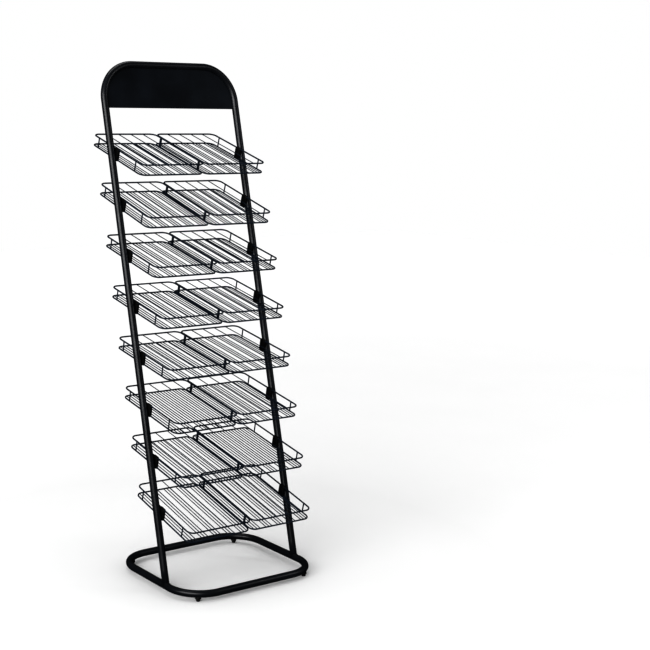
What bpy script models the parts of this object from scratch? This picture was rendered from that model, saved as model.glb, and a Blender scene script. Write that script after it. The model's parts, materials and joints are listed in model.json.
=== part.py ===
"""Free-standing wire brochure rack, two pockets wide.

A leaning tube hoop stands on a tube base loop with four glides. Eight tiers of
paired wire pockets tilt on brackets between the hoop's legs.

Axes: +X to the rack's right as seen from the front, +Y to its rear, +Z up.
Origin: on the floor, at the centre of the bounding box. Metres.
Tier 1 is the top one.
"""

import math

import bmesh
import bpy
from mathutils import Matrix, Vector

# Tube frame
TUBE_R = 0.011              # 22 mm round tube
TUBE_SIDES = 12
LEG_X = 0.245               # centre line of each leg
LEAN = math.radians(14.1)   # the hoop leans back
HOOP_TOP = 1.612            # along the leg, from the base tube's axis
HOOP_BEND_R = 0.112
BEND_STEPS = 6

# Base loop
BASE_Z = 0.0225             # height of the base tube's axis
BASE_Y = -0.0861            # centre of the loop
BASE_HALF_X = LEG_X
BASE_HALF_Y = 0.210
BASE_BEND_R = 0.105
LEG_FOOT_Y = BASE_Y - 0.083

# Glides under the base loop's bends
GLIDE_FOOT_R = 0.0062
GLIDE_TOP_R = 0.0098
GLIDE_TOP_Z = 0.0185
GLIDE_ANGLE = math.radians(55)   # round each bend, from the side run

# Header panel inside the hoop's bend
HEADER_BOTTOM = 1.4745      # along the leg
HEADER_THICK = 0.0016
HEM_DEPTH = 0.0036
HEM_HEIGHT = 0.012

# Pockets: 9 in by 12 in wire trays, 1.25 in deep, on wire centre lines
WIRE = 0.004                # rim wires
POCKET_CENTRE_X = 0.11545
POCKET_HALF_X = 0.11315
POCKET_HALF_Y = 0.155
POCKET_WALL = 0.0316
POCKET_BEND_R = 0.020
POCKET_BEND_STEPS = 3
POCKET_Y = -0.0035          # pocket centre ahead of the tilt axis
POST = 0.003
POST_Y = 0.1155             # side posts stand this far from the pocket's middle
LANES = 5                   # lanes side by side in a pocket
LANE_WIRES = 3              # floor wires in a lane
FINE_WIRE = 0.0024          # floor wires and dividers
LANE = 2 * POCKET_HALF_X / LANES

# Tiers
TIER_TOP = 1.3292           # tilt axis of tier 1, along the leg
TIER_PITCH = 0.1585
TIER_TILTS = (16.2, 16.6, 13.4, 11.8, 10.2, 10.8, 11.8, 14.2)   # degrees, nose down

# Tilt brackets
BRACKET_X = (0.2245, 0.2337)
BRACKET_Y = (-0.0155, 0.0085)
BRACKET_Z = (-0.0195, 0.0185)
RIM_CLEAR = 0.0003
BOSS_R = 0.00348
BOSS_BORE_R = 0.0036
BOSS_END = 0.2420
BORE_END = 0.2430
BOSS_SIDES = 12

GAP = 0.0003

FRAME_BLACK = (0.012, 0.012, 0.013, 1.0)
HEADER_BLACK = (0.008, 0.009, 0.011, 1.0)
WIRE_BLACK = (0.018, 0.018, 0.019, 1.0)
BRACKET_BLACK = (0.010, 0.010, 0.010, 1.0)
GLIDE_BLACK = (0.014, 0.014, 0.014, 1.0)


def clear_scene():
    for obj in list(bpy.data.objects):
        bpy.data.objects.remove(obj, do_unlink=True)


def make_material(name, colour, roughness, metallic=0.0):
    material = bpy.data.materials.new(name)
    material.use_nodes = True
    shader = material.node_tree.nodes["Principled BSDF"]
    shader.inputs["Base Color"].default_value = colour
    shader.inputs["Roughness"].default_value = roughness
    shader.inputs["Metallic"].default_value = metallic
    material.diffuse_color = colour
    return material


def add_object(name, bm, smooth=False):
    bmesh.ops.recalc_face_normals(bm, faces=bm.faces)
    for face in bm.faces:
        face.smooth = smooth
    mesh = bpy.data.meshes.new(name)
    bm.to_mesh(mesh)
    bm.free()
    obj = bpy.data.objects.new(name, mesh)
    bpy.context.scene.collection.objects.link(obj)
    return obj


def finish(obj, colour, roughness, metallic=0.0):
    obj.data.materials.clear()
    obj.data.materials.append(make_material(obj.name, colour, roughness, metallic))
    return obj


def cut(obj, cutter):
    """Subtract the cutter from the object and remove the cutter."""
    cutter.hide_render = True
    cutter.display_type = "WIRE"
    modifier = obj.modifiers.new("cut", "BOOLEAN")
    modifier.operation = "DIFFERENCE"
    modifier.solver = "EXACT"
    modifier.object = cutter
    bpy.context.view_layer.update()
    depsgraph = bpy.context.evaluated_depsgraph_get()
    result = bpy.data.meshes.new_from_object(obj.evaluated_get(depsgraph))
    obj.modifiers.clear()
    old = obj.data
    obj.data = result
    result.name = obj.name
    bpy.data.meshes.remove(old)
    bpy.data.objects.remove(cutter, do_unlink=True)
    tidy_faces(obj.data)


def tidy_faces(mesh):
    """Merge stray points and flat neighbours left by a cut."""
    bm = bmesh.new()
    bm.from_mesh(mesh)
    bmesh.ops.remove_doubles(bm, verts=bm.verts, dist=0.00001)
    bmesh.ops.dissolve_limit(bm, angle_limit=0.0005, verts=bm.verts, edges=bm.edges)
    bm.to_mesh(mesh)
    bm.free()


def arc(centre, radius, start, end, steps):
    """Points (u, v) along an arc, end points included. Angles in degrees."""
    points = []
    for i in range(steps + 1):
        angle = math.radians(start + (end - start) * i / steps)
        points.append((centre[0] + radius * math.cos(angle), centre[1] + radius * math.sin(angle)))
    return points


def sweep_tube(path, normal, radius, closed):
    """Round tube along a planar path; normal is the path's plane normal."""
    bm = bmesh.new()
    rings = []
    count = len(path)
    for i, point in enumerate(path):
        before = path[i - 1] if closed or i > 0 else point
        after = path[(i + 1) % count] if closed or i < count - 1 else point
        into = (point - before).normalized() if (point - before).length > 0 else None
        out = (after - point).normalized() if (after - point).length > 0 else None
        into = into or out
        out = out or into
        tangent = (into + out).normalized()
        side = tangent.cross(normal).normalized()
        stretch = 1.0 / max(0.5, tangent.dot(into))
        ring = []
        for k in range(TUBE_SIDES):
            angle = 2.0 * math.pi * k / TUBE_SIDES
            offset = side * (radius * math.cos(angle) * stretch) + normal * (radius * math.sin(angle))
            ring.append(bm.verts.new(point + offset))
        rings.append(ring)
    for i in range(count if closed else count - 1):
        here = rings[i]
        there = rings[(i + 1) % count]
        for k in range(TUBE_SIDES):
            n = (k + 1) % TUBE_SIDES
            bm.faces.new((here[k], here[n], there[n], there[k]))
    if not closed:
        bm.faces.new(rings[0])
        bm.faces.new(reversed(rings[-1]))
    return bm


def prism_x(name, radius, sides, x_low, x_high, y=0.0, z=0.0):
    """Many-sided bar along X."""
    bm = bmesh.new()
    bmesh.ops.create_cone(bm, cap_ends=True, segments=sides, radius1=radius, radius2=radius,
                          depth=x_high - x_low)
    turn = Matrix.Rotation(math.pi / 2, 4, "Y")
    move = Matrix.Translation(((x_low + x_high) / 2, y, z))
    bmesh.ops.transform(bm, matrix=move @ turn, verts=bm.verts)
    return add_object(name, bm)


def box(name, low, high):
    bm = bmesh.new()
    bmesh.ops.create_cube(bm, size=1.0)
    size = [high[i] - low[i] for i in range(3)]
    middle = [(high[i] + low[i]) / 2 for i in range(3)]
    bmesh.ops.scale(bm, vec=size, verts=bm.verts)
    bmesh.ops.translate(bm, vec=middle, verts=bm.verts)
    return add_object(name, bm)


def joined(name, pieces):
    """One object made of several separate pieces, for one cut."""
    bm = bmesh.new()
    for piece in pieces:
        piece.data.transform(piece.matrix_world)
        bm.from_mesh(piece.data)
        bpy.data.objects.remove(piece, do_unlink=True)
    return add_object(name, bm)


def leg_point(x, along, forward=0.0):
    """World point in the leaning hoop's plane, or ahead of it."""
    y = LEG_FOOT_Y + along * math.sin(LEAN) - forward * math.cos(LEAN)
    z = BASE_Z + along * math.cos(LEAN) + forward * math.sin(LEAN)
    return Vector((x, y, z))


def tier_axis(tier):
    return leg_point(0.0, TIER_TOP - TIER_PITCH * (tier - 1))


def base_path():
    x = BASE_HALF_X - BASE_BEND_R
    y = BASE_HALF_Y - BASE_BEND_R
    points = []
    for cx, cy, start in ((x, y, 0), (-x, y, 90), (-x, -y, 180), (x, -y, 270)):
        points += arc((cx, cy), BASE_BEND_R, start, start + 90, BEND_STEPS)
    return [Vector((u, BASE_Y + v, BASE_Z)) for u, v in points]


def make_base_loop(name, radius):
    return add_object(name, sweep_tube(base_path(), Vector((0, 0, 1)), radius, True), smooth=True)


def make_hoop():
    bend_x = LEG_X - HOOP_BEND_R
    bend_s = HOOP_TOP - HOOP_BEND_R
    outline = [(LEG_X, 0.0)]
    outline += arc((bend_x, bend_s), HOOP_BEND_R, 0, 90, BEND_STEPS)
    outline += arc((-bend_x, bend_s), HOOP_BEND_R, 90, 180, BEND_STEPS)
    outline += [(-LEG_X, 0.0)]
    path = [leg_point(u, s) for u, s in outline]
    normal = Vector((0, -math.cos(LEAN), math.sin(LEAN)))
    hoop = add_object("frame_hoop", sweep_tube(path, normal, TUBE_R, False))
    cutters = []
    for side in (-1, 1):
        saddle = [Vector((side * LEG_X, BASE_Y - 0.15, BASE_Z)), Vector((side * LEG_X, BASE_Y + 0.05, BASE_Z))]
        cutters.append(add_object("saddle", sweep_tube(saddle, Vector((0, 0, 1)), TUBE_R + 0.0005, False)))
        for tier in range(1, len(TIER_TILTS) + 1):
            axis = tier_axis(tier)
            inner = LEG_X - TUBE_R - 0.002
            low, high = sorted((side * inner, side * BORE_END))
            bore = prism_x("bore", BOSS_BORE_R, BOSS_SIDES, low, high)
            bore.rotation_euler = (math.radians(TIER_TILTS[tier - 1]), 0.0, 0.0)
            bore.location = axis
            cutters.append(bore)
    bpy.context.view_layer.update()
    cut(hoop, joined("hoop_cuts", cutters))
    for face in hoop.data.polygons:
        face.use_smooth = True
    return hoop


def make_header():
    edge = TUBE_R + 0.0004
    radius = HOOP_BEND_R - edge
    bend_x = LEG_X - HOOP_BEND_R
    bend_s = HOOP_TOP - HOOP_BEND_R
    outline = [(-LEG_X + edge, HEADER_BOTTOM), (LEG_X - edge, HEADER_BOTTOM)]
    outline += arc((bend_x, bend_s), radius, 0, 90, BEND_STEPS)
    outline += arc((-bend_x, bend_s), radius, 90, 180, BEND_STEPS)
    half = HEADER_THICK / 2
    bm = bmesh.new()
    hem_line = HEADER_BOTTOM + HEM_HEIGHT
    front = [bm.verts.new(leg_point(u, s, half)) for u, s in outline]
    back = [bm.verts.new(leg_point(u, s, -half)) for u, s in outline[2:]]
    left, right = -LEG_X + edge, LEG_X - edge
    hem = [bm.verts.new(leg_point(u, s, f)) for u, s, f in (
        (left, HEADER_BOTTOM, half - HEM_DEPTH), (right, HEADER_BOTTOM, half - HEM_DEPTH),
        (right, hem_line, half - HEM_DEPTH), (left, hem_line, half - HEM_DEPTH),
        (right, hem_line, -half), (left, hem_line, -half))]
    bm.faces.new(front)
    bm.faces.new([hem[5], hem[4]] + back)
    bm.faces.new((hem[0], hem[1], hem[2], hem[3]))
    bm.faces.new((hem[3], hem[2], hem[4], hem[5]))
    bm.faces.new((front[0], front[1], hem[1], hem[0]))
    bm.faces.new((front[1], front[2], back[0], hem[4], hem[2], hem[1]))
    bm.faces.new((front[-1], front[0], hem[0], hem[3], hem[5], back[-1]))
    for i in range(2, len(outline) - 1):
        bm.faces.new((front[i], front[i + 1], back[i - 1], back[i - 2]))
    return add_object("header_panel", bm)


def make_glide(name, x_side, y_side):
    corner_x = BASE_HALF_X - BASE_BEND_R * (1 - math.cos(GLIDE_ANGLE))
    corner_y = BASE_HALF_Y - BASE_BEND_R * (1 - math.sin(GLIDE_ANGLE))
    bm = bmesh.new()
    bmesh.ops.create_cone(bm, cap_ends=True, segments=TUBE_SIDES, radius1=GLIDE_FOOT_R,
                          radius2=GLIDE_TOP_R, depth=GLIDE_TOP_Z)
    bmesh.ops.translate(bm, vec=(0, 0, GLIDE_TOP_Z / 2), verts=bm.verts)
    glide = add_object(name, bm)
    glide.location = (x_side * corner_x, BASE_Y + y_side * corner_y, 0.0)
    cut(glide, make_base_loop("glide_cut", TUBE_R + GAP))
    return glide


def divider_places():
    return [-POCKET_HALF_X + LANE * i for i in range(1, LANES)]


def floor_wire_places():
    places = []
    for i in range(LANES):
        for k in range(1, LANE_WIRES + 1):
            places.append(-POCKET_HALF_X + LANE * (i + k / (LANE_WIRES + 1)))
    return places


def bend_angle(x):
    """Angle round the rim's bend at which its inner face reaches x, from the side run."""
    return math.degrees(math.acos((x - POCKET_HALF_X + POCKET_BEND_R) / (POCKET_BEND_R - WIRE / 2)))


def bend_marks(places):
    """Stations within a bend: (angle, kind), with one wire landing in it where places reach it."""
    last = max(places)
    if last < POCKET_HALF_X - POCKET_BEND_R:
        return [(90 * i / POCKET_BEND_STEPS, "plain") for i in range(1, POCKET_BEND_STEPS)]
    first = bend_angle(last + FINE_WIRE / 2)
    return [(first / 2, "plain"), (first, "wire"), (bend_angle(last - FINE_WIRE / 2), "plain")]


def rim_stations(places, side_marks):
    """Stations round a rim: (x, y, outward x, outward y, what stands on the stretch that follows).

    A mark's kind is "wire" where one joins the rim's inner face, "post" on its upper face.
    """
    inner_x = POCKET_HALF_X - POCKET_BEND_R
    inner_y = POCKET_HALF_Y - POCKET_BEND_R
    marks = bend_marks(places)
    stations = []

    def corner(cx, cy, start):
        spots = [(0, "plain")] + marks
        if start in (90, 270):
            kinds = [kind for _, kind in marks]
            spots = [(90 - angle, kind) for (angle, _), kind in zip(reversed(marks), kinds[1:] + ["plain"])]
            spots.insert(0, (0, "plain"))
        for turn, kind in spots:
            angle = math.radians(start + turn)
            nx, ny = math.cos(angle), math.sin(angle)
            stations.append((cx + POCKET_BEND_R * nx, cy + POCKET_BEND_R * ny, nx, ny, kind))

    def side(x, facing):
        stations.append((x, -inner_y * facing, facing, 0, "plain"))
        for centre, width, kind in side_marks:
            stations.append((x, (centre - width / 2) * facing, facing, 0, kind))
            stations.append((x, (centre + width / 2) * facing, facing, 0, "plain"))

    def end(y, facing):
        stations.append((inner_x * facing, y, 0, facing, "plain"))
        for centre in places:
            if abs(centre) < inner_x:
                stations.append((-(centre - FINE_WIRE / 2) * facing, y, 0, facing, "wire"))
                stations.append((-(centre + FINE_WIRE / 2) * facing, y, 0, facing, "plain"))

    side(POCKET_HALF_X, 1)
    corner(inner_x, inner_y, 0)
    end(POCKET_HALF_Y, 1)
    corner(-inner_x, inner_y, 90)
    side(-POCKET_HALF_X, -1)
    corner(-inner_x, -inner_y, 180)
    end(-POCKET_HALF_Y, -1)
    corner(inner_x, -inner_y, 270)
    return stations


def add_rim(bm, stations):
    """Closed rim of square wire, open where the fine wires join it and where posts stand."""
    half = WIRE / 2
    fine = FINE_WIRE / 2
    post_top = POCKET_WALL - half - GAP
    count = len(stations)
    outer = []
    inner = []
    for x, y, nx, ny, kind in stations:
        outer.append([bm.verts.new((x + nx * half, y + ny * half, z)) for z in (-half, half)])
        inner.append([bm.verts.new((x - nx * half, y - ny * half, z)) for z in (-half, -fine, fine, half)])
    for i in range(count):
        j = (i + 1) % count
        kind = stations[i][4]
        bm.faces.new((outer[i][0], outer[j][0], outer[j][1], outer[i][1]))
        bm.faces.new((outer[j][0], outer[i][0], inner[i][0], inner[j][0]))
        for low in range(3):
            if low == 1 and kind == "wire":
                continue
            bm.faces.new((inner[j][low], inner[i][low], inner[i][low + 1], inner[j][low + 1]))
        foot = (outer[i][1], outer[j][1], inner[j][3], inner[i][3])
        if kind != "post":
            bm.faces.new(foot)
            continue
        head = [bm.verts.new((v.co.x, v.co.y, post_top)) for v in foot]
        bm.faces.new(head)
        for k in range(4):
            n = (k + 1) % 4
            bm.faces.new((foot[k], foot[n], head[n], head[k]))


def rim_end(x):
    """How far from the pocket's middle the rim's inner face stands at x."""
    inside = abs(x) - (POCKET_HALF_X - POCKET_BEND_R)
    radius = POCKET_BEND_R - WIRE / 2
    if inside <= 0:
        return POCKET_HALF_Y - WIRE / 2
    return POCKET_HALF_Y - POCKET_BEND_R + math.sqrt(radius * radius - inside * inside)


def add_fine_wires(bm, places):
    """Wires from the rim's front end to its rear end, open at the ends that join the rim."""
    half = FINE_WIRE / 2
    for x in places:
        front = []
        rear = []
        for edge, z in ((x - half, -half), (x + half, -half), (x + half, half), (x - half, half)):
            front.append(bm.verts.new((edge, -rim_end(edge), z)))
            rear.append(bm.verts.new((edge, rim_end(edge), z)))
        for k in range(4):
            n = (k + 1) % 4
            bm.faces.new((front[k], front[n], rear[n], rear[k]))


def welded(name, bm):
    bmesh.ops.remove_doubles(bm, verts=bm.verts, dist=0.00001)
    bmesh.ops.recalc_face_normals(bm, faces=bm.faces)
    bmesh.ops.dissolve_limit(bm, angle_limit=0.0005, verts=bm.verts, edges=bm.edges)
    return add_object(name, bm)


def make_top_rim(name):
    """Upper rim with the dividers that split the pocket into lanes."""
    bm = bmesh.new()
    add_rim(bm, rim_stations(divider_places(), []))
    add_fine_wires(bm, divider_places())
    return welded(name, bm)


def make_tray(name):
    """Lower rim with the floor wires and the four side posts."""
    bm = bmesh.new()
    add_rim(bm, rim_stations(floor_wire_places(), [(-POST_Y, POST, "post"), (POST_Y, POST, "post")]))
    add_fine_wires(bm, floor_wire_places())
    return welded(name, bm)


def make_bracket(name, side):
    """Block that holds both side rims and turns on a boss in the leg."""
    low_x, high_x = sorted((side * BRACKET_X[0], side * BRACKET_X[1]))
    block = box(name, (low_x, BRACKET_Y[0], BRACKET_Z[0]), (high_x, BRACKET_Y[1], BRACKET_Z[1]))
    rim_x = side * (POCKET_CENTRE_X + POCKET_HALF_X)
    reach = WIRE / 2 + RIM_CLEAR
    slots = []
    for z in (-POCKET_WALL / 2, POCKET_WALL / 2):
        slots.append(box("slot", (rim_x - reach, BRACKET_Y[0] - 0.01, z - reach),
                         (rim_x + reach, BRACKET_Y[1] + 0.01, z + reach)))
    cut(block, joined("slots", slots))
    boss_low, boss_high = sorted((side * BRACKET_X[1], side * BOSS_END))
    bm = bmesh.new()
    bm.from_mesh(block.data)
    face = max(bm.faces, key=lambda f: f.calc_center_median().x * side)
    bm.faces.ensure_lookup_table()
    edge_verts = list(face.verts)
    bm.faces.remove(face)
    root = []
    tip = []
    for k in range(BOSS_SIDES):
        angle = 2.0 * math.pi * k / BOSS_SIDES
        y, z = BOSS_R * math.cos(angle), BOSS_R * math.sin(angle)
        root.append(bm.verts.new((side * BRACKET_X[1], y, z)))
        tip.append(bm.verts.new((side * BOSS_END, y, z)))
    for k in range(BOSS_SIDES):
        n = (k + 1) % BOSS_SIDES
        bm.faces.new((root[k], root[n], tip[n], tip[k]))
    bm.faces.new(tip)
    collar = []
    for k in range(BOSS_SIDES):
        collar.append(bm.edges.get((root[k], root[(k + 1) % BOSS_SIDES])))
    for k in range(len(edge_verts)):
        edge = bm.edges.get((edge_verts[k], edge_verts[(k + 1) % len(edge_verts)]))
        collar.append(edge)
    bmesh.ops.triangle_fill(bm, use_beauty=True, use_dissolve=False, edges=collar)
    bmesh.ops.recalc_face_normals(bm, faces=bm.faces)
    bm.to_mesh(block.data)
    bm.free()
    return block


def make_tier(tier):
    """One tier on its tilt axis: two wire pockets and the two brackets that carry them."""
    axis = bpy.data.objects.new("tier_%d_tilt_axis" % tier, None)
    axis.empty_display_size = 0.03
    axis.location = tier_axis(tier)
    axis.rotation_euler = (math.radians(TIER_TILTS[tier - 1]), 0.0, 0.0)
    bpy.context.scene.collection.objects.link(axis)
    for side, word in ((-1, "left"), (1, "right")):
        for piece, level in ((make_top_rim("tier_%d_rim_%s" % (tier, word)), POCKET_WALL / 2),
                             (make_tray("tier_%d_tray_%s" % (tier, word)), -POCKET_WALL / 2)):
            piece.location = (side * POCKET_CENTRE_X, POCKET_Y, level)
            piece.parent = axis
            finish(piece, WIRE_BLACK, 0.42)
        bracket = make_bracket("tier_%d_bracket_%s" % (tier, word), side)
        bracket.parent = axis
        finish(bracket, BRACKET_BLACK, 0.5)


def main():
    clear_scene()
    finish(make_hoop(), FRAME_BLACK, 0.32)
    finish(make_base_loop("base_loop", TUBE_R), FRAME_BLACK, 0.32)
    finish(make_header(), HEADER_BLACK, 0.38)
    for y_side, depth in ((-1, "front"), (1, "rear")):
        for x_side, word in ((-1, "left"), (1, "right")):
            finish(make_glide("glide_%s_%s" % (depth, word), x_side, y_side), GLIDE_BLACK, 0.6)
    for tier in range(1, len(TIER_TILTS) + 1):
        make_tier(tier)
    bpy.context.view_layer.update()


main()
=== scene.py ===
"""Looks of the free-standing wire brochure rack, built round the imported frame.

Every place comes from the frame's record, joints and node boxes. Metres, +Z up.
"""

import json
import math

import bmesh
import bpy
from mathutils import Matrix, Vector, noise


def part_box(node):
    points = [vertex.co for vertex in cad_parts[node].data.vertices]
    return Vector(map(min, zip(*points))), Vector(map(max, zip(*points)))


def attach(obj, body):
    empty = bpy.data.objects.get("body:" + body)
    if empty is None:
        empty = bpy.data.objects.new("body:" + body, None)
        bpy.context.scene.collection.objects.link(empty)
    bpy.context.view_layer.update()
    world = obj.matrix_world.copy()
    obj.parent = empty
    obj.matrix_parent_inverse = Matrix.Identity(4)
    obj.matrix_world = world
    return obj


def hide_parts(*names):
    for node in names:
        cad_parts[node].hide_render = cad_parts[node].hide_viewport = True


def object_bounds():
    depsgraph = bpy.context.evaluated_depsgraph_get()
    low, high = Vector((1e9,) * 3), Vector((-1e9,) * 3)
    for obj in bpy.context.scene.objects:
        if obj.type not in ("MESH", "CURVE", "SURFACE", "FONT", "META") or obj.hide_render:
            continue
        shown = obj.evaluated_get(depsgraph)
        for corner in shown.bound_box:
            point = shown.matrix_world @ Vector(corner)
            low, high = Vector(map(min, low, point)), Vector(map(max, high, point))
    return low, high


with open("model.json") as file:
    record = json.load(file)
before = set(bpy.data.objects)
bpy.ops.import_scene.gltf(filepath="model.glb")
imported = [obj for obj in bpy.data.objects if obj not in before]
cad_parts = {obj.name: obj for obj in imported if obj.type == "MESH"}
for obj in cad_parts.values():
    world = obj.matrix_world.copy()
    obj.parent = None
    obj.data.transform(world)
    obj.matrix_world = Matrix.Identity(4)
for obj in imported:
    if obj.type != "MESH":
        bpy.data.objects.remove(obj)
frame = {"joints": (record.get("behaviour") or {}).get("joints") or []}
cad_low, cad_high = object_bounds()

JOINTS = {joint["name"]: joint for joint in frame["joints"]}
TIERS = range(1, 9)
SIDES = ((-1, "left"), (1, "right"))

# Tube frame
TUBE_R = 0.011
TUBE_SIDES = 40
LEG_X = 0.245
HOOP_BEND_R = 0.112
HOOP_TOP = 1.6115
BASE_BEND_R = 0.105
BEND_STEPS = 28

# Pockets, in the frame of a pocket: its middle, at the lower rim's centre line
RIM_WIRE = 0.0045
POST_WIRE = 0.004
FLOOR_WIRE = 0.0026
POCKET_CENTRE_X = 0.11545
POCKET_HALF_X = 0.11315
POCKET_HALF_Y = 0.155
POCKET_WALL = 0.0316
POCKET_BEND_R = 0.020
POCKET_Y = -0.0035
POST_Y = 0.1155
LANES = 5
LANE_WIRES = 3
DIVIDER_WIRE = 0.0026
RIM_SIDES = 14
FINE_SIDES = 10

# Header sheet
HEADER_THICK = 0.0016
HEADER_BOTTOM = 1.4740          # along the legs, from the base tube's axis
HEM_HEIGHT = 0.012
HEM_ROLL = 0.0016
HEADER_SINK = 0.0012            # how far the sheet's edge is sunk into the tube

# Tilt brackets, in a tier's own frame, on its right-hand side
BRACKET_LOW = Vector((0.2245, -0.0155, -0.0195))
BRACKET_HIGH = Vector((0.2337, 0.0085, 0.0185))
BRACKET_CORNER_R = 0.0032
JAW_LIP_R = 0.0007
RIB_R = 0.0007
RIB_INSET = 0.0045
RIB_HEIGHT = 0.0075

# Welds
LEG_BEAD_R = 0.0014
LEG_BEAD_STEPS = 72
LEG_BEAD_SIDES = 8
BOX_MARGIN = 0.0001             # keeps the bead inside the frame's box
TACK_SIZE = (0.0019, 0.0016, 0.0019)
TACK_STEP = 0.0026

# Studio
FLOOR_HALF = 9.0
FLOOR_STEPS = 24
CAMERA_PLACE = (-2.2514, -3.3242, 1.4344)
CAMERA_YAW, CAMERA_PITCH, CAMERA_ROLL = 34.048, 9.459, 0.521
CAMERA_LENS = 71.554
CAMERA_SHIFT = (0.1881, 0.0070)
TONE_GAMMA = 0.66


# ---------------------------------------------------------------- mesh tools

def new_object(name, bm, smooth=True):
    bmesh.ops.recalc_face_normals(bm, faces=bm.faces)
    for face in bm.faces:
        face.smooth = smooth
    mesh = bpy.data.meshes.new(name)
    bm.to_mesh(mesh)
    bm.free()
    obj = bpy.data.objects.new(name, mesh)
    bpy.context.scene.collection.objects.link(obj)
    return obj


def tangents(path, closed):
    count = len(path)
    result = []
    for i in range(count):
        before = path[i - 1] if closed or i > 0 else path[i]
        after = path[(i + 1) % count] if closed or i < count - 1 else path[i]
        into = path[i] - before
        out = after - path[i]
        into = into.normalized() if into.length > 0 else out.normalized()
        out = out.normalized() if out.length > 0 else into
        result.append((into + out).normalized())
    return result


def sweep(bm, path, radius, sides, closed=False, hint=Vector((0, 0, 1)), dome=0.35):
    """Round wire or tube along a path, with slightly domed ends when open."""
    path = [Vector(p) for p in path]
    along = tangents(path, closed)
    radii = [radius] * len(path)
    if not closed and dome:
        before = path[0] - along[0] * radius * dome
        after = path[-1] + along[-1] * radius * dome
        path = [before] + path + [after]
        along = [along[0]] + along + [along[-1]]
        radii = [radius * 0.6] + radii + [radius * 0.6]
    side = along[0].cross(hint)
    if side.length < 0.001:
        side = along[0].cross(Vector((1, 0, 0)))
    side.normalize()
    rings = []
    for point, tangent, size in zip(path, along, radii):
        side = (side - tangent * side.dot(tangent)).normalized()
        up = tangent.cross(side)
        ring = []
        for k in range(sides):
            angle = 2 * math.pi * k / sides
            out = side * math.cos(angle) + up * math.sin(angle)
            ring.append(bm.verts.new(point + out * size))
        rings.append(ring)
    count = len(rings)
    for i in range(count if closed else count - 1):
        here, there = rings[i], rings[(i + 1) % count]
        for k in range(sides):
            n = (k + 1) % sides
            bm.faces.new((here[k], here[n], there[n], there[k]))
    if not closed:
        bm.faces.new(rings[0])
        bm.faces.new(list(reversed(rings[-1])))


def blob(bm, centre, size, seed, steps=2):
    """Small uneven lump of weld metal."""
    made = bmesh.ops.create_icosphere(bm, subdivisions=steps, radius=1.0)
    centre = Vector(centre)
    for vert in made["verts"]:
        swell = 1 + 0.18 * noise.noise(vert.co * 1.7 + Vector((seed, 0.0, 0.0)))
        stretched = Vector([c * s for c, s in zip(vert.co, size)])
        vert.co = centre + stretched * swell


def arc(centre, radius, start, end, steps):
    points = []
    for i in range(steps + 1):
        angle = math.radians(start + (end - start) * i / steps)
        points.append((centre[0] + radius * math.cos(angle),
                       centre[1] + radius * math.sin(angle)))
    return points


def rounded_loop(half_x, half_y, radius, steps):
    points = []
    x, y = half_x - radius, half_y - radius
    for cx, cy, start in ((x, y, 0), (-x, y, 90), (-x, -y, 180), (x, -y, 270)):
        points += arc((cx, cy), radius, start, start + 90, steps)
    return points


# ---------------------------------------------------------------- materials

def node_material(name, colour, roughness, specular):
    material = bpy.data.materials.new(name)
    material.use_nodes = True
    tree = material.node_tree
    shader = tree.nodes["Principled BSDF"]
    shader.inputs["Base Color"].default_value = (*colour, 1.0)
    shader.inputs["Roughness"].default_value = roughness
    shader.inputs["Specular IOR Level"].default_value = specular
    material.diffuse_color = (*colour, 1.0)
    return material, tree, shader


def add_noise(tree, scale, detail, roughness=0.5, distortion=0.0, stretch=None):
    coord = tree.nodes.get("Coord")
    if coord is None:
        coord = tree.nodes.new("ShaderNodeTexCoord")
        coord.name = "Coord"
    texture = tree.nodes.new("ShaderNodeTexNoise")
    texture.inputs["Scale"].default_value = scale
    texture.inputs["Detail"].default_value = detail
    texture.inputs["Roughness"].default_value = roughness
    texture.inputs["Distortion"].default_value = distortion
    if stretch:
        mapping = tree.nodes.new("ShaderNodeMapping")
        mapping.inputs["Scale"].default_value = stretch
        tree.links.new(coord.outputs["Object"], mapping.inputs["Vector"])
        tree.links.new(mapping.outputs["Vector"], texture.inputs["Vector"])
    else:
        tree.links.new(coord.outputs["Object"], texture.inputs["Vector"])
    return texture.outputs["Fac"]


def add_ramp(tree, value, low, high, dark=0.0, light=1.0):
    ramp = tree.nodes.new("ShaderNodeMapRange")
    ramp.inputs["From Min"].default_value = low
    ramp.inputs["From Max"].default_value = high
    ramp.inputs["To Min"].default_value = dark
    ramp.inputs["To Max"].default_value = light
    tree.links.new(value, ramp.inputs["Value"])
    return ramp.outputs["Result"]


def add_mix(tree, factor, first, second):
    mix = tree.nodes.new("ShaderNodeMix")
    mix.data_type = "RGBA"
    tree.links.new(factor, mix.inputs["Factor"])
    for socket, value in (("A", first), ("B", second)):
        target = [s for s in mix.inputs if s.name == socket and s.type == "RGBA"][0]
        if isinstance(value, tuple):
            target.default_value = (*value, 1.0)
        else:
            tree.links.new(value, target)
    return [s for s in mix.outputs if s.type == "RGBA"][0]


def add_math(tree, operation, first, second):
    node = tree.nodes.new("ShaderNodeMath")
    node.operation = operation
    for index, value in ((0, first), (1, second)):
        if isinstance(value, (int, float)):
            node.inputs[index].default_value = value
        else:
            tree.links.new(value, node.inputs[index])
    return node.outputs[0]


def add_bump(tree, shader, height, strength, distance):
    bump = tree.nodes.new("ShaderNodeBump")
    bump.inputs["Strength"].default_value = strength
    bump.inputs["Distance"].default_value = distance
    tree.links.new(height, bump.inputs["Height"])
    tree.links.new(bump.outputs["Normal"], shader.inputs["Normal"])


def upward(tree, low, high):
    """How far the surface faces up, where dust settles."""
    geometry = tree.nodes.new("ShaderNodeNewGeometry")
    split = tree.nodes.new("ShaderNodeSeparateXYZ")
    tree.links.new(geometry.outputs["Normal"], split.inputs[0])
    return add_ramp(tree, split.outputs["Z"], low, high)


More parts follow.
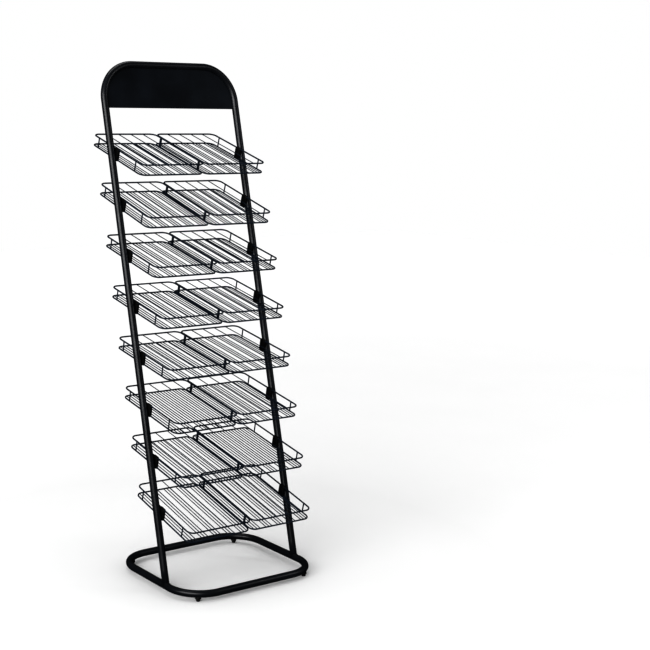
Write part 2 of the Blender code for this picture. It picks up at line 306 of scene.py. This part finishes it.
def powder_coat(name, colour, roughness, peel=650.0, relief=0.00012, dust=0.012, scuff=0.4,
                specular=0.2):
    """Baked powder: orange peel, cloudy gloss, a few dull scuffs, a little dust on top."""
    material, tree, shader = node_material(name, colour, roughness, specular=specular)
    lighter = tuple(c * 1.7 + 0.0006 for c in colour)
    cloud = add_ramp(tree, add_noise(tree, 9.0, 3.0), 0.35, 0.65)
    body = add_mix(tree, cloud, colour, lighter)
    rubbed = add_noise(tree, 55.0, 7.0, 0.62, 0.6, (1.0, 1.0, 0.35))
    rubbed = add_ramp(tree, rubbed, 0.66, 0.74)
    worn = tuple(c * 2.2 + 0.006 for c in colour)
    body = add_mix(tree, add_math(tree, "MULTIPLY", rubbed, scuff), body, worn)
    patches = add_ramp(tree, add_noise(tree, 30.0, 5.0), 0.3, 0.8)
    film = add_math(tree, "MULTIPLY", upward(tree, 0.55, 1.0), patches)
    body = add_mix(tree, add_math(tree, "MULTIPLY", film, dust), body, (0.45, 0.44, 0.42))
    tree.links.new(body, shader.inputs["Base Color"])
    gloss = add_noise(tree, 24.0, 4.0)
    gloss = add_ramp(tree, gloss, 0.3, 0.7, roughness - 0.05, roughness + 0.06)
    gloss = add_math(tree, "ADD", gloss, add_math(tree, "MULTIPLY", rubbed, 0.16 * scuff))
    tree.links.new(gloss, shader.inputs["Roughness"])
    add_bump(tree, shader, add_noise(tree, peel, 2.0, 0.45), 0.35, relief)
    return material


def moulded(name, colour, roughness, grain=1600.0, relief=0.00008, specular=0.2):
    """Injection-moulded plastic: fine spark-eroded grain and slight shine in patches."""
    material, tree, shader = node_material(name, colour, roughness, specular=specular)
    patch = add_ramp(tree, add_noise(tree, 120.0, 4.0), 0.35, 0.7)
    body = add_mix(tree, patch, colour, tuple(c * 1.7 + 0.001 for c in colour))
    rub = add_ramp(tree, add_noise(tree, 300.0, 6.0, 0.6, 0.4), 0.62, 0.72)
    worn = tuple(c * 2.0 + 0.006 for c in colour)
    body = add_mix(tree, add_math(tree, "MULTIPLY", rub, 0.4), body, worn)
    tree.links.new(body, shader.inputs["Base Color"])
    gloss = add_ramp(tree, patch, 0.0, 1.0, roughness - 0.07, roughness + 0.07)
    tree.links.new(gloss, shader.inputs["Roughness"])
    add_bump(tree, shader, add_noise(tree, grain, 3.0, 0.6), 0.5, relief)
    return material


def plain_floor():
    """Pale paper, a little paler away from the lights so that it meets the backdrop evenly."""
    material, tree, shader = node_material("floor_paper", (0.7, 0.7, 0.7), 0.9, specular=0.05)
    coord = tree.nodes.new("ShaderNodeTexCoord")
    coord.name = "Coord"
    length = tree.nodes.new("ShaderNodeVectorMath")
    length.operation = "LENGTH"
    tree.links.new(coord.outputs["Object"], length.inputs[0])
    away = add_math(tree, "POWER", add_ramp(tree, length.outputs["Value"], 1.0, 7.0), 0.85)
    tone = add_mix(tree, away, (0.62, 0.62, 0.62), (0.998, 0.998, 0.998))
    grain = add_ramp(tree, add_noise(tree, 2.0, 3.0), 0.3, 0.7, 0.995, 1.005)
    mottle = tree.nodes.new("ShaderNodeVectorMath")
    mottle.operation = "SCALE"
    tree.links.new(tone, mottle.inputs[0])
    tree.links.new(grain, mottle.inputs["Scale"])
    tree.links.new(mottle.outputs["Vector"], shader.inputs["Base Color"])
    return material


FRAME_COAT = powder_coat("frame_coat", (0.0040, 0.0050, 0.0070), 0.35, specular=0.5)
WELD_COAT = powder_coat("weld_coat", (0.004, 0.004, 0.0046), 0.38, peel=420.0, relief=0.0003)
HEADER_COAT = powder_coat("header_coat", (0.0038, 0.0052, 0.0076), 0.40, peel=520.0,
                          dust=0.003, scuff=0.15, specular=0.10)
WIRE_COAT = powder_coat("wire_coat", (0.0070, 0.0110, 0.0180), 0.36, peel=900.0,
                        relief=0.00008)
BRACKET_PLASTIC = moulded("bracket_plastic", (0.0022, 0.0022, 0.0022), 0.55)
GLIDE_PLASTIC = moulded("glide_plastic", (0.004, 0.004, 0.004), 0.62, grain=900.0)


def place(piece, body, material, slot, *nodes):
    piece.data.materials.clear()
    piece.data.materials.append(material)
    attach(piece, body)
    if nodes:
        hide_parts(*nodes)
    return piece


# ---------------------------------------------------------------- frame geometry

base_low, base_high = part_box("base_loop")
BASE_Z = (base_low.z + base_high.z) / 2
BASE_Y = (base_low.y + base_high.y) / 2
BASE_HALF_X = (base_high.x - base_low.x) / 2 - TUBE_R
BASE_HALF_Y = (base_high.y - base_low.y) / 2 - TUBE_R


def tilt_point(tier):
    return Vector(JOINTS["tier_%d_tilt" % tier]["pos_m"])


def tilt_angle(tier):
    return math.radians(-JOINTS["tier_%d_tilt" % tier]["range_deg"][0])


LEG_UP = (tilt_point(1) - tilt_point(8)).normalized()
LEG_AHEAD = Vector((0, -LEG_UP.z, LEG_UP.y))
LEG_FOOT = tilt_point(8) - LEG_UP * ((tilt_point(8).z - BASE_Z) / LEG_UP.z)


def leg_point(x, along, ahead=0.0):
    return LEG_FOOT + Vector((x, 0, 0)) + LEG_UP * along + LEG_AHEAD * ahead


def tier_frame(tier):
    return Matrix.Translation(tilt_point(tier)) @ Matrix.Rotation(tilt_angle(tier), 4, "X")


# ---------------------------------------------------------------- tube frame

def make_hoop():
    bend_x = LEG_X - HOOP_BEND_R
    bend_s = HOOP_TOP - HOOP_BEND_R
    outline = [(LEG_X, 0.0)]
    outline += [(LEG_X, bend_s * i / 30) for i in range(1, 30)]
    outline += arc((bend_x, bend_s), HOOP_BEND_R, 0, 90, BEND_STEPS)
    outline += arc((-bend_x, bend_s), HOOP_BEND_R, 90, 180, BEND_STEPS)
    outline += [(-LEG_X, bend_s * i / 30) for i in range(29, 0, -1)]
    outline += [(-LEG_X, 0.0)]
    bm = bmesh.new()
    path = [leg_point(u, s) for u, s in outline]
    sweep(bm, path, TUBE_R, TUBE_SIDES, hint=LEG_AHEAD, dome=0)
    return new_object("tube_hoop", bm)


def make_base():
    bm = bmesh.new()
    loop = rounded_loop(BASE_HALF_X, BASE_HALF_Y, BASE_BEND_R, BEND_STEPS)
    path = [Vector((u, BASE_Y + v, BASE_Z)) for u, v in loop]
    sweep(bm, path, TUBE_R, TUBE_SIDES, closed=True)
    return new_object("tube_base", bm)


def make_leg_weld(side):
    """Fillet weld where a leg stands on the base tube: a wavy bead round the saddle."""
    bm = bmesh.new()
    rings = []
    for i in range(LEG_BEAD_STEPS):
        angle = 2 * math.pi * i / LEG_BEAD_STEPS
        across = TUBE_R * math.cos(angle)
        forward = TUBE_R * math.sin(angle)
        # the leg's surface line meets the base tube's top at this height above its axis
        drop = math.sqrt(max(0.0, TUBE_R * TUBE_R - across * across))
        lift = drop / LEG_UP.z
        centre = leg_point(side * LEG_X + across, lift, 0) + LEG_AHEAD * forward
        centre += LEG_UP * (-forward * LEG_AHEAD.z / LEG_UP.z)
        out = Vector((math.cos(angle), 0, 0)) + LEG_AHEAD * math.sin(angle)
        up = Vector((0, 0, 1))
        ragged = noise.noise(Vector((i * 0.35, side * 3.0, 0.0)))
        wave = LEG_BEAD_R * (1 + 0.22 * math.sin(angle * 26) + 0.15 * ragged)
        ring = []
        for k in range(LEG_BEAD_SIDES):
            turn = 2 * math.pi * k / LEG_BEAD_SIDES
            spot = centre + out * (wave * math.cos(turn)) + up * (wave * math.sin(turn))
            spot.x = max(cad_low.x + BOX_MARGIN, min(cad_high.x - BOX_MARGIN, spot.x))
            ring.append(bm.verts.new(spot))
        rings.append(ring)
    for i in range(LEG_BEAD_STEPS):
        here, there = rings[i], rings[(i + 1) % LEG_BEAD_STEPS]
        for k in range(LEG_BEAD_SIDES):
            n = (k + 1) % LEG_BEAD_SIDES
            bm.faces.new((here[k], here[n], there[n], there[k]))
    return new_object("leg_weld_%s" % ("left" if side < 0 else "right"), bm)


def make_header():
    """Sheet that fills the hoop's bend, with a folded hem along its lower edge."""
    edge = TUBE_R - HEADER_SINK
    radius = HOOP_BEND_R - edge
    bend_x = LEG_X - HOOP_BEND_R
    bend_s = HOOP_TOP - HOOP_BEND_R
    right = LEG_X - edge
    outline = arc((bend_x, bend_s), radius, 0, 90, BEND_STEPS)
    outline += arc((-bend_x, bend_s), radius, 90, 180, BEND_STEPS)
    half = HEADER_THICK / 2
    # side profile of the folded hem, front face first: (along, ahead)
    profile = []
    for i in range(7):
        angle = math.pi * i / 6
        profile.append((HEADER_BOTTOM + HEM_ROLL - HEM_ROLL * math.sin(angle),
                        half - HEM_ROLL + HEM_ROLL * math.cos(angle)))
    tail = half - 2 * HEM_ROLL
    bm = bmesh.new()
    front = [bm.verts.new(leg_point(u, s, half)) for u, s in outline]
    back = [bm.verts.new(leg_point(u, s, -half)) for u, s in outline]
    columns = []
    for x in (right, -right):
        column = [bm.verts.new(leg_point(x, s, f)) for s, f in profile]
        column.append(bm.verts.new(leg_point(x, HEADER_BOTTOM + HEM_HEIGHT, tail)))
        column.append(bm.verts.new(leg_point(x, HEADER_BOTTOM + HEM_HEIGHT, -half)))
        columns.append(column)
    first, second = columns
    bm.faces.new([first[0]] + front + [second[0]])
    bm.faces.new([second[-1]] + list(reversed(back)) + [first[-1]])
    for i in range(len(first) - 1):
        bm.faces.new((first[i], second[i], second[i + 1], first[i + 1]))
    for i in range(len(front) - 1):
        bm.faces.new((front[i], front[i + 1], back[i + 1], back[i]))
    bm.faces.new([front[0]] + first + [back[0]])
    bm.faces.new([back[-1]] + list(reversed(second)) + [front[-1]])
    return new_object("header_sheet", bm, smooth=False)


def make_header_tacks():
    """Short welds that hold the header in the hoop, behind."""
    bm = bmesh.new()
    at_side = HOOP_TOP - HOOP_BEND_R - 0.01
    at_top = HOOP_TOP - TUBE_R
    spots = [(LEG_X - TUBE_R, at_side, False), (-LEG_X + TUBE_R, at_side, False)]
    spots += [(u, at_top, True) for u in (0.12, 0.0, -0.12)]
    for index, (u, s, flat) in enumerate(spots):
        centre = leg_point(u, s, -HEADER_THICK)
        for step in range(5):
            shift = (step - 2) * TACK_STEP
            spot = centre + (Vector((shift, 0, 0)) if flat else LEG_UP * shift)
            blob(bm, spot, TACK_SIZE, index * 3.1 + step * 0.7)
    return new_object("header_tack_welds", bm)


def make_glide(name):
    """Turned foot with a collar and a round, flat-topped cap under the tube."""
    low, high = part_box(name)
    centre_x, centre_y = (low.x + high.x) / 2, (low.y + high.y) / 2
    top_r = (high.x - low.x) / 2
    # (radius, height) from the floor up: foot, neck, collar
    profile = [(0.0, 0.0), (0.0042, 0.0), (0.0056, 0.0004), (0.0062, 0.0014), (0.0063, 0.0042),
               (0.0057, 0.0052), (0.0052, 0.0058), (0.0054, 0.0066),
               (0.0086, 0.0074), (0.0094, 0.0082), (top_r, 0.0096),
               (top_r, 0.0150), (top_r - 0.0006, 0.0162), (0.0, 0.0166)]
    steps = 36
    bm = bmesh.new()
    rings = []
    for radius, z in profile:
        if radius == 0.0:
            rings.append([bm.verts.new((centre_x, centre_y, z))])
            continue
        ring = []
        for k in range(steps):
            angle = 2 * math.pi * k / steps
            ring.append(bm.verts.new((centre_x + radius * math.cos(angle),
                                      centre_y + radius * math.sin(angle), z)))
        rings.append(ring)
    for here, there in zip(rings, rings[1:]):
        for k in range(steps):
            n = (k + 1) % steps
            if len(here) == 1:
                bm.faces.new((here[0], there[n], there[k]))
            elif len(there) == 1:
                bm.faces.new((here[k], here[n], there[0]))
            else:
                bm.faces.new((here[k], here[n], there[n], there[k]))
    return new_object(name + "_foot", bm)


# ---------------------------------------------------------------- tiers

def divider_places():
    """Centre lines of the wires across the top rim, which split a pocket into lanes."""
    lane = 2 * POCKET_HALF_X / LANES
    return [-POCKET_HALF_X + lane * i for i in range(1, LANES)]


def floor_places():
    """Centre lines of the floor wires: evenly spaced in each lane, none under a divider."""
    lane = 2 * POCKET_HALF_X / LANES
    places = []
    for i in range(LANES):
        for k in range(1, LANE_WIRES + 1):
            places.append(-POCKET_HALF_X + lane * (i + k / (LANE_WIRES + 1)))
    return places


def rim_end(x):
    """How far from the pocket's middle the rim's centre line runs at x."""
    inside = abs(x) - (POCKET_HALF_X - POCKET_BEND_R)
    if inside <= 0:
        return POCKET_HALF_Y
    return POCKET_HALF_Y - POCKET_BEND_R + math.sqrt(POCKET_BEND_R ** 2 - inside ** 2)


def add_rim(bm, z, seed):
    """Bent rim wire, with the small upset of the butt weld at the middle of its rear run."""
    loop = rounded_loop(POCKET_HALF_X, POCKET_HALF_Y, POCKET_BEND_R, 10)
    sweep(bm, [Vector((u, v, z)) for u, v in loop], RIM_WIRE / 2, RIM_SIDES, closed=True)
    blob(bm, (0.004, POCKET_HALF_Y, z), (0.0011, RIM_WIRE * 0.53, RIM_WIRE * 0.53), seed)


def add_fine_wires(bm, places, radius, z, seed):
    """Straight wires from rim to rim, each sunk into the rims at a small resistance weld."""
    for index, x in enumerate(places):
        reach = rim_end(x) - 0.0006
        path = [Vector((x, -reach + 2 * reach * i / 8, z)) for i in range(9)]
        sweep(bm, path, radius, FINE_SIDES, hint=Vector((1, 0, 0)))
        for facing in (-1, 1):
            spot = (x, facing * (rim_end(x) - RIM_WIRE / 2), z)
            size = (radius * 1.35, 0.0009, radius * 1.2)
            blob(bm, spot, size, seed + index * 1.3 + facing, 1)


def make_top_rim(name, at):
    bm = bmesh.new()
    add_rim(bm, POCKET_WALL, 4.0)
    add_fine_wires(bm, divider_places(), DIVIDER_WIRE / 2, POCKET_WALL, 20.0)
    obj = new_object(name, bm)
    obj.data.transform(at)
    return obj


def make_tray(name, at):
    bm = bmesh.new()
    add_rim(bm, 0.0, 9.0)
    add_fine_wires(bm, floor_places(), FLOOR_WIRE / 2, 0.0, 60.0)
    seed = 0.0
    for side in (-1, 1):
        x = side * POCKET_HALF_X
        for y in (-POST_Y, POST_Y):
            heights = (0.001, POCKET_WALL / 2, POCKET_WALL - 0.001)
            path = [Vector((x, y, z)) for z in heights]
            sweep(bm, path, POST_WIRE / 2, RIM_SIDES, hint=Vector((0, 1, 0)))
            for z in (RIM_WIRE * 0.42, POCKET_WALL - RIM_WIRE * 0.42):
                seed += 1.7
                blob(bm, (x, y, z), (POST_WIRE * 0.53, POST_WIRE * 0.68, 0.0012), seed)
    obj = new_object(name, bm)
    obj.data.transform(at)
    return obj


def loft(bm, rings):
    """Skin between closed rings that have the same number of points, with both ends closed."""
    made = [[bm.verts.new(point) for point in ring] for ring in rings]
    count = len(made[0])
    for here, there in zip(made, made[1:]):
        for k in range(count):
            n = (k + 1) % count
            bm.faces.new((here[k], here[n], there[n], there[k]))
    bm.faces.new(made[0])
    bm.faces.new(list(reversed(made[-1])))


def make_bracket(name, side, tier):
    """Moulded clamp: a rounded block round both rims, a pivot collar, and ribs."""
    low, high = BRACKET_LOW, BRACKET_HIGH
    middle = (low + high) / 2
    half = (high - low) / 2
    bm = bmesh.new()
    # body, with rounded long edges and drafted ends
    rings = []
    for x, shrink in ((-half.x, 0.0014), (-half.x + 0.0005, 0.0005), (-half.x + 0.0016, 0.0),
                      (half.x - 0.0016, 0.0), (half.x - 0.0005, 0.0005), (half.x, 0.0014)):
        loop = rounded_loop(half.y - shrink, half.z - shrink, BRACKET_CORNER_R, 5)
        rings.append([(side * (middle.x + x), middle.y + v, middle.z + w) for v, w in loop])
    loft(bm, rings)
    # jaw lips that fold over each rim wire at the block's two ends
    wire_x = side * (POCKET_CENTRE_X + POCKET_HALF_X)
    for z in (-POCKET_WALL / 2, POCKET_WALL / 2):
        for y in (low.y + 0.0016, high.y - 0.0016):
            path = arc((wire_x, z), RIM_WIRE / 2 + 0.0009, 0, 360, 16)[:-1]
            points = [Vector((u, y, v)) for u, v in path]
            points = [p for p in points if side * p.x > low.x and low.z < p.z < high.z]
            if len(points) > 3:
                sweep(bm, points, JAW_LIP_R, 8, hint=Vector((0, 1, 0)))
    # pivot collar on the side of the leg
    rings = []
    turns = [2 * math.pi * k / 32 for k in range(32)]
    for x, radius in ((high.x - 0.0006, 0.0062), (high.x + 0.0002, 0.0060),
                      (high.x + 0.0004, 0.0056)):
        rings.append([(side * x, radius * math.cos(a), radius * math.sin(a)) for a in turns])
    loft(bm, rings)
    # two shallow ribs on the face away from the leg
    rib_x = side * (low.x + 0.0002)
    for z in (-RIB_HEIGHT, RIB_HEIGHT):
        sweep(bm, [Vector((rib_x, low.y + RIB_INSET, z)),
                   Vector((rib_x, high.y - RIB_INSET, z))], RIB_R, 8)
    obj = new_object(name, bm)
    obj.data.transform(tier_frame(tier))
    return obj


def build_tiers():
    for tier in TIERS:
        body = "tier_%d" % tier
        local = tier_frame(tier)
        for side, word in SIDES:
            middle = (side * POCKET_CENTRE_X, POCKET_Y, -POCKET_WALL / 2)
            at = local @ Matrix.Translation(middle)
            rim = "%s_rim_%s" % (body, word)
            piece = make_top_rim("%s_top_rim_%s" % (body, word), at)
            place(piece, body, WIRE_COAT, rim, rim)
            tray = "%s_tray_%s" % (body, word)
            piece = make_tray("%s_wire_tray_%s" % (body, word), at)
            place(piece, body, WIRE_COAT, tray, tray)
            bracket = "%s_bracket_%s" % (body, word)
            piece = make_bracket("%s_clamp_%s" % (body, word), side, tier)
            place(piece, body, BRACKET_PLASTIC, bracket, bracket)


# ---------------------------------------------------------------- studio

def make_floor():
    """Pale ground. Like the surround it isn't mirrored, so the tubes' undersides stay dark."""
    bm = bmesh.new()
    ticks = [-FLOOR_HALF + 2 * FLOOR_HALF * i / FLOOR_STEPS for i in range(FLOOR_STEPS + 1)]
    grid = [[bm.verts.new((x, y, 0.0)) for y in ticks] for x in ticks]
    for i in range(FLOOR_STEPS):
        for j in range(FLOOR_STEPS):
            bm.faces.new((grid[i][j], grid[i + 1][j], grid[i + 1][j + 1], grid[i][j + 1]))
    floor = new_object("studio_floor", bm)
    floor.data.materials.append(plain_floor())
    floor.visible_glossy = False


def add_light(name, place_at, aim_at, size, power):
    """Rectangular soft light at one place, turned to another. Size in metres, power in watts."""
    data = bpy.data.lights.new(name, "AREA")
    data.shape = "RECTANGLE"
    data.size, data.size_y = size
    data.energy = power
    light = bpy.data.objects.new(name, data)
    light.location = place_at
    aim = Vector(aim_at) - Vector(place_at)
    light.rotation_euler = aim.to_track_quat("-Z", "Y").to_euler()
    bpy.context.scene.collection.objects.link(light)


def make_camera():
    yaw, pitch, roll = (math.radians(a) for a in (CAMERA_YAW, CAMERA_PITCH, CAMERA_ROLL))
    ahead = Vector((math.sin(yaw) * math.cos(pitch), math.cos(yaw) * math.cos(pitch),
                    -math.sin(pitch)))
    level = Vector((math.cos(yaw), -math.sin(yaw), 0))
    plumb = level.cross(ahead)
    right = level * math.cos(roll) + plumb * math.sin(roll)
    up = plumb * math.cos(roll) - level * math.sin(roll)
    turn = Matrix((right, up, -ahead)).transposed()
    data = bpy.data.cameras.new("camera")
    data.lens = CAMERA_LENS
    data.sensor_width = 36
    data.shift_x, data.shift_y = CAMERA_SHIFT
    camera = bpy.data.objects.new("camera", data)
    camera.matrix_world = Matrix.Translation(CAMERA_PLACE) @ turn.to_4x4()
    bpy.context.scene.collection.objects.link(camera)
    bpy.context.scene.camera = camera


def make_world():
    """White surround that lights softly but isn't mirrored, and a hard tone curve."""
    world = bpy.data.worlds.new("studio")
    world.use_nodes = True
    background = world.node_tree.nodes["Background"]
    background.inputs["Color"].default_value = (1.0, 1.0, 1.0, 1.0)
    background.inputs["Strength"].default_value = 1.0
    world.cycles_visibility.glossy = False
    bpy.context.scene.world = world
    view = bpy.context.scene.view_settings
    view.view_transform = "Standard"
    view.gamma = TONE_GAMMA


make_camera()
make_world()
make_floor()
add_light("key", (-5.85, -2.85, 3.05), (0, 0, 1.25), (6.9, 3.6), 675)
add_light("fill", (2.8, -2.6, 2.2), (0, 0, 0.8), (0.4, 1.6), 24)
add_light("top", (0.0, 0.6, 3.8), (0, 0, 0.8), (2.0, 1.4), 34)

place(make_hoop(), "stand", FRAME_COAT, "frame_hoop", "frame_hoop")
place(make_base(), "stand", FRAME_COAT, "base_loop", "base_loop")
for side in (-1, 1):
    place(make_leg_weld(side), "stand", WELD_COAT, "base_loop")
place(make_header(), "stand", HEADER_COAT, "header_panel", "header_panel")
place(make_header_tacks(), "stand", WELD_COAT, "header_panel")
for glide in ("glide_front_left", "glide_front_right",
              "glide_rear_left", "glide_rear_right"):
    place(make_glide(glide), "stand", GLIDE_PLASTIC, glide, glide)
build_tiers()

bpy.context.view_layer.update()
